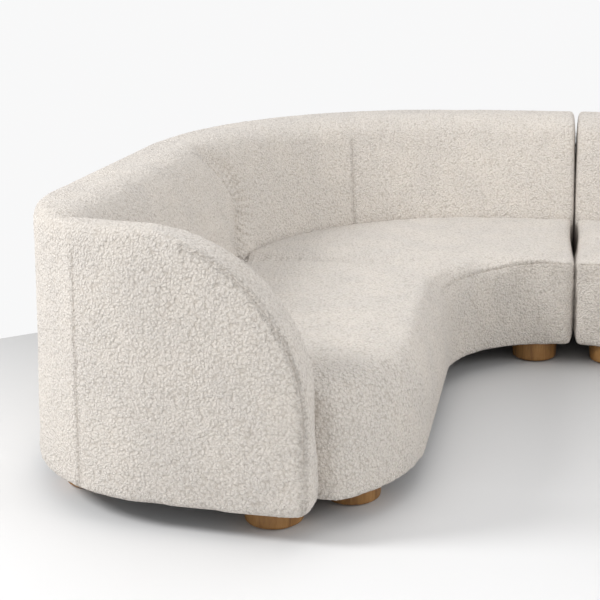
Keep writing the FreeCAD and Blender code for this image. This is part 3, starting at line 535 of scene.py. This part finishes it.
place = node(boucle, "TexCoord").outputs["Object"]
stir = node(boucle, "TexNoise", Scale=90.0, Detail=2.0)
stirred = node(boucle, "VectorMath", operation="MULTIPLY_ADD")
stirred.inputs[1].default_value = (0.005, 0.005, 0.005)
wire(boucle, place, stir.inputs["Vector"], stir.outputs["Color"], stirred.inputs[0],
     place, stirred.inputs[2])
loops = node(boucle, "TexVoronoi", feature="F1", Scale=136.0)
curls = node(boucle, "TexVoronoi", feature="F1", Scale=330.0)
fluff = node(boucle, "TexNoise", Scale=600.0, Detail=3.0)
cloudy = node(boucle, "TexNoise", Scale=7.0, Detail=3.0)
for made in (loops, curls):
    wire(boucle, stirred.outputs[0], made.inputs["Vector"])
for made in (fluff, cloudy):
    wire(boucle, place, made.inputs["Vector"])
hollow = math_node(boucle, "MULTIPLY", loops.outputs["Distance"], 0.80)
hollow = math_node(boucle, "ADD", hollow, math_node(
    boucle, "MULTIPLY", curls.outputs["Distance"], 0.30))
hollow = math_node(boucle, "ADD", hollow, math_node(
    boucle, "MULTIPLY", fluff.outputs["Fac"], 0.12))
# Colour of the loops, with painted shade that darkens it towards the hollows between them.
thread_and_shade = ramp(boucle, [(0.20, (0.86, 0.81, 0.755)), (0.60, (0.775, 0.72, 0.66)),
                       (0.95, (0.60, 0.545, 0.485))])
wire(boucle, hollow, thread_and_shade.inputs["Fac"])
shade = ramp(boucle, [(0.35, (0.94, 0.94, 0.94)), (0.65, (1.0, 0.995, 0.985))])
wire(boucle, cloudy.outputs["Fac"], shade.inputs["Fac"])
clouded = node(boucle, "Mix", data_type="RGBA", blend_type="MULTIPLY")
clouded.inputs[0].default_value = 1.0
wire(boucle, thread_and_shade.outputs["Color"], clouded.inputs[6], shade.outputs["Color"],
     clouded.inputs[7])
# Painted shade along the stitched seams: the cloth is mixed towards a dark brown on the marked
# line.
seam_shade_attribute = node(boucle, "Attribute", attribute_name="seam")
seam_shaded = node(boucle, "Mix", data_type="RGBA")
seam_shaded.inputs[7].default_value = (0.44, 0.39, 0.34, 1)
seam_shade_share = math_node(boucle, "MULTIPLY", seam_shade_attribute.outputs["Fac"], 0.4)
wire(boucle, seam_shade_share, seam_shaded.inputs[0], clouded.outputs[2], seam_shaded.inputs[6],
     seam_shaded.outputs[2], shader_of(boucle).inputs["Base Color"])
raised = math_node(boucle, "SUBTRACT", 1.0, hollow)
bump = node(boucle, "Bump", Strength=1.0, Distance=0.0072)
wire(boucle, raised, bump.inputs["Height"], bump.outputs["Normal"],
     shader_of(boucle).inputs["Normal"])
shader_of(boucle).inputs["Roughness"].default_value = 0.95
shader_of(boucle).inputs["Specular IOR Level"].default_value = 0.2
shader_of(boucle).inputs["Sheen Weight"].default_value = 0.25
shader_of(boucle).inputs["Sheen Roughness"].default_value = 0.55

# Black lining: thin felted cloth with a faint speckle. It is stapled under the frame, and the
# undersides of the padded pieces are closed with the same cloth.
lining = bpy.data.materials.new("lining")
lining.use_nodes = True
lining_place = node(lining, "TexCoord").outputs["Object"]
lining_fibres = node(lining, "TexNoise", Scale=900.0, Detail=4.0)
lining_tone = ramp(lining, [(0.4, (0.012, 0.012, 0.013)), (0.7, (0.045, 0.045, 0.048))])
lining_bump = node(lining, "Bump", Strength=0.3, Distance=0.0006)
wire(lining, lining_place, lining_fibres.inputs["Vector"], lining_fibres.outputs["Fac"],
     lining_tone.inputs["Fac"], lining_tone.outputs["Color"],
     shader_of(lining).inputs["Base Color"], lining_fibres.outputs["Fac"],
     lining_bump.inputs["Height"], lining_bump.outputs["Normal"],
     shader_of(lining).inputs["Normal"])
shader_of(lining).inputs["Roughness"].default_value = 0.9


def upholster(skin, cuts, cushion, place):
    """Cuts a padded piece of the left module off its skin, makes the right module's as its
    mirror image, and dresses both. Each stands for the cover and the foam of its name."""
    ending = cushion + place + "_pad"
    left = piece_of(skin, "left_" + ending, cuts)
    right = mirror_piece(left, "right_" + ending)
    for side, piece in (("left", left), ("right", right)):
        piece.data.materials.append(boucle)
        piece.data.materials.append(lining)
        for face in piece.data.polygons:
            face.use_smooth = True
            if face.normal.z < -0.9 and face.center.z < fabric_low:
                face.material_index = 1
        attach(piece, side + "_module")
        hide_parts(side + "_" + cushion + "_cover" + place,
                    side + "_" + cushion + "_foam" + place)


# The shell's three padded parts are sewn together at the upright corner seam, and meet at the
# crease where the straight side runs into the curved corner.
corner_cut = Vector((panel_y(junction_x) + arm_thickness - corner_seam_y,
                     corner_seam_x - junction_x, 0))
corner_cut.normalize()
corner_point = (corner_seam_x, corner_seam_y, 0)
crease_point = (0, corner_y, 0)
ahead_of_crease = (crease_point, (0, 1, 0))
behind_crease = (crease_point, (0, -1, 0))
upholster(shell, [(corner_point, -corner_cut)], "arm", "")
upholster(shell, [(corner_point, corner_cut), ahead_of_crease], "back", "_side")
upholster(shell, [behind_crease], "back", "_rear")
bpy.data.objects.remove(shell)

# Seat of a module: sprung deck with a thick foam slab under one tight cloth cover. The rear
# part has a seam along its front edge; over the side leg the cloth rolls down to the hem.
seat_face_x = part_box("left_seat_cover_side")[1].x
rear_seat_depth = 0.735
seat_front_y = junction_y - rear_seat_depth
front_corner_radius = 0.375
nose_radius = 0.500
nose_set_back = 0.023
nose_y = panel_front_y + nose_set_back
tucked = 0.016
seat_roll = 0.115
rear_roll_share = 0.22
roll_grows_over = 0.30
front_seam_z = 0.378


def seat_block():
    """The seat's block. Its front edge is rolled wide along the side leg and narrower along
    the rear, and it is cut off where it meets the arm."""
    behind = junction_x - tucked
    bm = block([
        (seam_x, seat_front_y, 0),
        (seam_x, junction_y + tucked, 0),
        (behind, junction_y + tucked, junction_y - corner_y + tucked),
        (behind, nose_y, 0),
        (seat_face_x, nose_y, nose_radius),
        (seat_face_x, seat_front_y, front_corner_radius),
    ], fabric_low - turned_under, seat_top)
    weight = bm.edges.layers.float.new("bevel_weight_edge")
    for edge in bm.edges:
        middle = (edge.verts[0].co + edge.verts[1].co) / 2
        on_top = all(v.co.z > seat_top - 1e-4 for v in edge.verts)
        inside = middle.x > behind + 0.3 and middle.y < seat_front_y + 0.01
        at_seam = middle.x > seam_x - 1e-4
        if on_top and inside and not at_seam and edge.calc_face_angle(0) > 0.5:
            along = (seat_front_y - 0.02 - middle.y) / roll_grows_over
            edge[weight] = rear_roll_share + (1 - rear_roll_share) * min(1.0, max(0.0, along))
    made = new_object("seat", bm)
    roll = made.modifiers.new("roll", "BEVEL")
    roll.limit_method = "WEIGHT"
    roll.width = seat_roll
    roll.segments = 10
    roll.use_clamp_overlap = False
    apply_modifiers(made)
    bm = bmesh.new()
    bm.from_mesh(made.data)
    bmesh.ops.bisect_plane(
        bm, geom=bm.verts[:] + bm.edges[:] + bm.faces[:], clear_outer=True,
        plane_co=(arm_end_x, panel_y(arm_end_x) + arm_thickness - tucked, 0),
        plane_no=(-math.sin(arm_tilt), -math.cos(arm_tilt), 0))
    bmesh.ops.holes_fill(bm, edges=[e for e in bm.edges if e.is_boundary])
    bm.to_mesh(made.data)
    bm.free()
    return made


def seat_front_seam():
    """The seam under the front edge of the rear seat, round the corner to the side seat."""
    steps = 39
    drop = 0.012
    middle_x = seat_face_x + front_corner_radius
    middle_y = seat_front_y - front_corner_radius
    run = [(seam_x, seat_front_y, front_seam_z)]
    for i in range(steps + 1):
        angle = math.radians(90 + 86 * i / steps)
        run.append((middle_x + front_corner_radius * math.cos(angle),
                    middle_y + front_corner_radius * math.sin(angle),
                    front_seam_z - drop * i / steps))
    return run


crease_end = 0.02
crease_lean = 0.01
swell_set_back = 0.035
seat_seams = [
    {"points": line_points(seat_front_seam()), "grooves": stitched, "fade": (0.01, 0.12),
     "stitched": True},
    {"points": line_points([(junction_x, corner_y, seat_top),
                            (seat_face_x - crease_end, corner_y + crease_lean, seat_top)]),
     "grooves": [(0.017, 0.011)], "fade": (0.01, 0.40), "stitched": False},
    {"points": line_points([(junction_x, corner_y + swell_set_back, seat_top),
                            (seat_face_x - crease_end,
                             corner_y + swell_set_back + crease_lean, seat_top)]),
     "grooves": [(0.018, 0.055)], "fade": (0.01, 0.40), "stitched": False},
]
seat = seat_block()
even_skin(seat)
stuff(seat, [(seat_seams[0]["points"], 0.010)], 0.012)
finer(seat, seat_seams[:2])
sew(seat, seat_seams)
upholster(seat, [ahead_of_crease], "seat", "_side")
upholster(seat, [behind_crease], "seat", "_corner")
bpy.data.objects.remove(seat)

# Legs: short turned drums of light oak, oiled, with the lower edge eased. The grain stands
# upright in a few glued staves, and shows as rings on the underside.
oak = bpy.data.materials.new("oak")
oak.use_nodes = True


def wood(material, pale, mid, dark, stretch, rings, roughness):
    """Long wavering grain with fine pores; stretch sets which way it runs."""
    place = node(material, "TexCoord").outputs["Object"]
    laid = node(material, "Mapping")
    laid.inputs["Scale"].default_value = stretch
    broad = node(material, "TexNoise", Scale=rings, Detail=4.0, Distortion=0.8)
    pores = node(material, "TexNoise", Scale=rings * 9, Detail=5.0)
    patches = node(material, "TexNoise", Scale=rings * 0.25, Detail=2.0)
    wire(material, place, laid.inputs["Vector"])
    for made in (broad, pores, patches):
        wire(material, laid.outputs[0], made.inputs["Vector"])
    grain = math_node(material, "ADD", math_node(
        material, "MULTIPLY", broad.outputs["Fac"], 0.55), math_node(
        material, "MULTIPLY", pores.outputs["Fac"], 0.28))
    grain = math_node(material, "ADD", grain, math_node(
        material, "MULTIPLY", patches.outputs["Fac"], 0.2))
    tone = ramp(material, [(0.38, dark), (0.52, mid), (0.66, pale)])
    bump = node(material, "Bump", Strength=0.25, Distance=0.0008)
    gloss = node(material, "MapRange", To_Min=roughness - 0.07, To_Max=roughness + 0.08)
    wire(material, grain, tone.inputs["Fac"], tone.outputs["Color"],
         shader_of(material).inputs["Base Color"], grain, bump.inputs["Height"],
         bump.outputs["Normal"], shader_of(material).inputs["Normal"],
         pores.outputs["Fac"], gloss.inputs["Value"], gloss.outputs[0],
         shader_of(material).inputs["Roughness"])


wood(oak, (0.40, 0.210, 0.070), (0.31, 0.150, 0.042), (0.18, 0.082, 0.022), (9, 9, 0.9), 6.0, 0.5)
for name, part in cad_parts.items():
    if "_leg_" in name and not name.endswith(("glides", "bolts")):
        part.data.materials.clear()
        part.data.materials.append(oak)

# Glides: round pads of dark grey wool felt, glued under the legs so that they slide on a
# hard floor.
felt = bpy.data.materials.new("felt")
felt.use_nodes = True
felt_place = node(felt, "TexCoord").outputs["Object"]
felt_fibres = node(felt, "TexNoise", Scale=650.0, Detail=5.0)
felt_tone = ramp(felt, [(0.35, (0.05, 0.046, 0.042)), (0.7, (0.12, 0.11, 0.10))])
felt_bump = node(felt, "Bump", Strength=0.5, Distance=0.001)
wire(felt, felt_place, felt_fibres.inputs["Vector"], felt_fibres.outputs["Fac"],
     felt_tone.inputs["Fac"], felt_tone.outputs["Color"], shader_of(felt).inputs["Base Color"],
     felt_fibres.outputs["Fac"], felt_bump.inputs["Height"], felt_bump.outputs["Normal"],
     shader_of(felt).inputs["Normal"])
shader_of(felt).inputs["Roughness"].default_value = 0.95

# Plywood of the frame: base board, back ribs and the two arm boards, sawn from birch sheets.
# They are slotted and glued together, and the bands of ply show in the grain.
plywood = bpy.data.materials.new("plywood")
plywood.use_nodes = True
wood(plywood, (0.66, 0.53, 0.37), (0.58, 0.45, 0.30), (0.44, 0.32, 0.20), (1.2, 8, 8), 7.0, 0.62)

# Softwood of the frame: the rails, the boards between them, the panel at the seam and the
# top rail, planed and glued to the plywood.
softwood = bpy.data.materials.new("softwood")
softwood.use_nodes = True
wood(softwood, (0.72, 0.55, 0.34), (0.64, 0.46, 0.27), (0.48, 0.31, 0.16), (1, 7, 7), 5.0, 0.66)

# Steel: hanger bolts of the legs, connector and its screws, all zinc-plated, and the oiled
# wire of the seat springs, which are bent in zigzags.
steel = bpy.data.materials.new("steel")
steel.use_nodes = True
steel_place = node(steel, "TexCoord").outputs["Object"]
steel_mottle = node(steel, "TexNoise", Scale=160.0, Detail=4.0)
steel_tone = ramp(steel, [(0.35, (0.42, 0.43, 0.44)), (0.65, (0.60, 0.61, 0.62))])
steel_gloss = node(steel, "MapRange", To_Min=0.28, To_Max=0.45)
steel_bump = node(steel, "Bump", Strength=0.12, Distance=0.0004)
wire(steel, steel_place, steel_mottle.inputs["Vector"], steel_mottle.outputs["Fac"],
     steel_tone.inputs["Fac"], steel_tone.outputs["Color"],
     shader_of(steel).inputs["Base Color"], steel_mottle.outputs["Fac"],
     steel_gloss.inputs["Value"], steel_gloss.outputs[0], shader_of(steel).inputs["Roughness"],
     steel_mottle.outputs["Fac"], steel_bump.inputs["Height"], steel_bump.outputs["Normal"],
     shader_of(steel).inputs["Normal"])
shader_of(steel).inputs["Metallic"].default_value = 1.0

# Every hidden part of the frame gets its finish; the dust cover is the black lining.
finishes = {"leg_glides": felt, "leg_bolts": steel, "connector": steel,
            "connector_screws": steel, "seat_springs": steel, "base_board": plywood,
            "back_ribs": plywood, "arm_boards": plywood, "front_rail": softwood,
            "back_rail": softwood, "seam_panel": softwood, "cross_boards": softwood,
            "top_rail": softwood, "dust_cover": lining}
for ending, finish in finishes.items():
    for side in ("left_", "right_"):
        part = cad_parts[side + ending]
        part.data.materials.clear()
        part.data.materials.append(finish)

# Studio floor: a pale matt sheet with painted shade that makes it a little darker towards its rear
# edge, cut off behind the rounded corners of the sofa so that the pale surroundings show beyond it.
floor_bm = bmesh.new()
floor_z = -0.0005
floor_reach = 7.0
front_edge = [(-floor_reach, -9.0), (floor_reach, -9.0)]
rear_cut = [(floor_reach, -4.045), (0.0, 2.171), (-floor_reach, -4.045)]
floor_bm.faces.new([floor_bm.verts.new((x, y, floor_z)) for x, y in front_edge + rear_cut])
floor = new_object("floor", floor_bm)
sheet = bpy.data.materials.new("floor")
sheet.use_nodes = True
floor_place = node(sheet, "TexCoord").outputs["Object"]
floor_split = node(sheet, "SeparateXYZ")
# Painted shade: the floor grows darker from Y -0.9 to Y 0.3, round the sofa.
floor_shade_share = node(sheet, "MapRange", From_Min=-0.9, From_Max=0.3)
floor_tone_and_shade = ramp(sheet, [(0.0, (0.80, 0.80, 0.80)), (1.0, (0.54, 0.54, 0.54))])
floor_grain = node(sheet, "TexNoise", Scale=40.0, Detail=4.0)
floor_gloss = node(sheet, "MapRange", To_Min=0.55, To_Max=0.7)
wire(sheet, floor_place, floor_split.inputs[0], floor_split.outputs["Y"],
     floor_shade_share.inputs["Value"], floor_shade_share.outputs[0], floor_tone_and_shade.inputs["Fac"],
     floor_tone_and_shade.outputs["Color"], shader_of(sheet).inputs["Base Color"],
     floor_place, floor_grain.inputs["Vector"], floor_grain.outputs["Fac"],
     floor_gloss.inputs["Value"], floor_gloss.outputs[0], shader_of(sheet).inputs["Roughness"])
shader_of(sheet).inputs["Specular IOR Level"].default_value = 0.2
floor.data.materials.append(sheet)

# Light: pale surroundings, a big soft lamp high on the left, a weaker one on the right and a
# faint one overhead.
bpy.context.scene.view_settings.view_transform = "Standard"
world = bpy.data.worlds.new("pale")
bpy.context.scene.world = world
world.use_nodes = True
backdrop = world.node_tree.nodes["Background"]
outward = node(world, "TexCoord").outputs["Generated"]
rise = node(world, "SeparateXYZ")
pale = ramp(world, [(0.02, (0.94, 0.94, 0.943)), (0.30, (0.68, 0.68, 0.685))])
wire(world, outward, rise.inputs[0], rise.outputs["Z"], pale.inputs["Fac"],
     pale.outputs["Color"], backdrop.inputs["Color"])
backdrop.inputs["Strength"].default_value = 1.0
lit_point = Vector((-0.5, -0.2, 0.4))
for name, location, size, power in (("key", (-5.4, -2.6, 3.9), 1.8, 235),
                                    ("fill", (4.5, -1.8, 3.0), 3.0, 84),
                                    ("overhead", (-0.2, 0.2, 3.4), 2.5, 18)):
    lamp = bpy.data.objects.new(name, bpy.data.lights.new(name, "AREA"))
    lamp.data.shape = "DISK"
    lamp.data.size = size
    lamp.data.energy = power
    lamp.location = location
    lamp.rotation_euler = (lit_point - Vector(location)).to_track_quat("-Z", "Y").to_euler()
    bpy.context.scene.collection.objects.link(lamp)
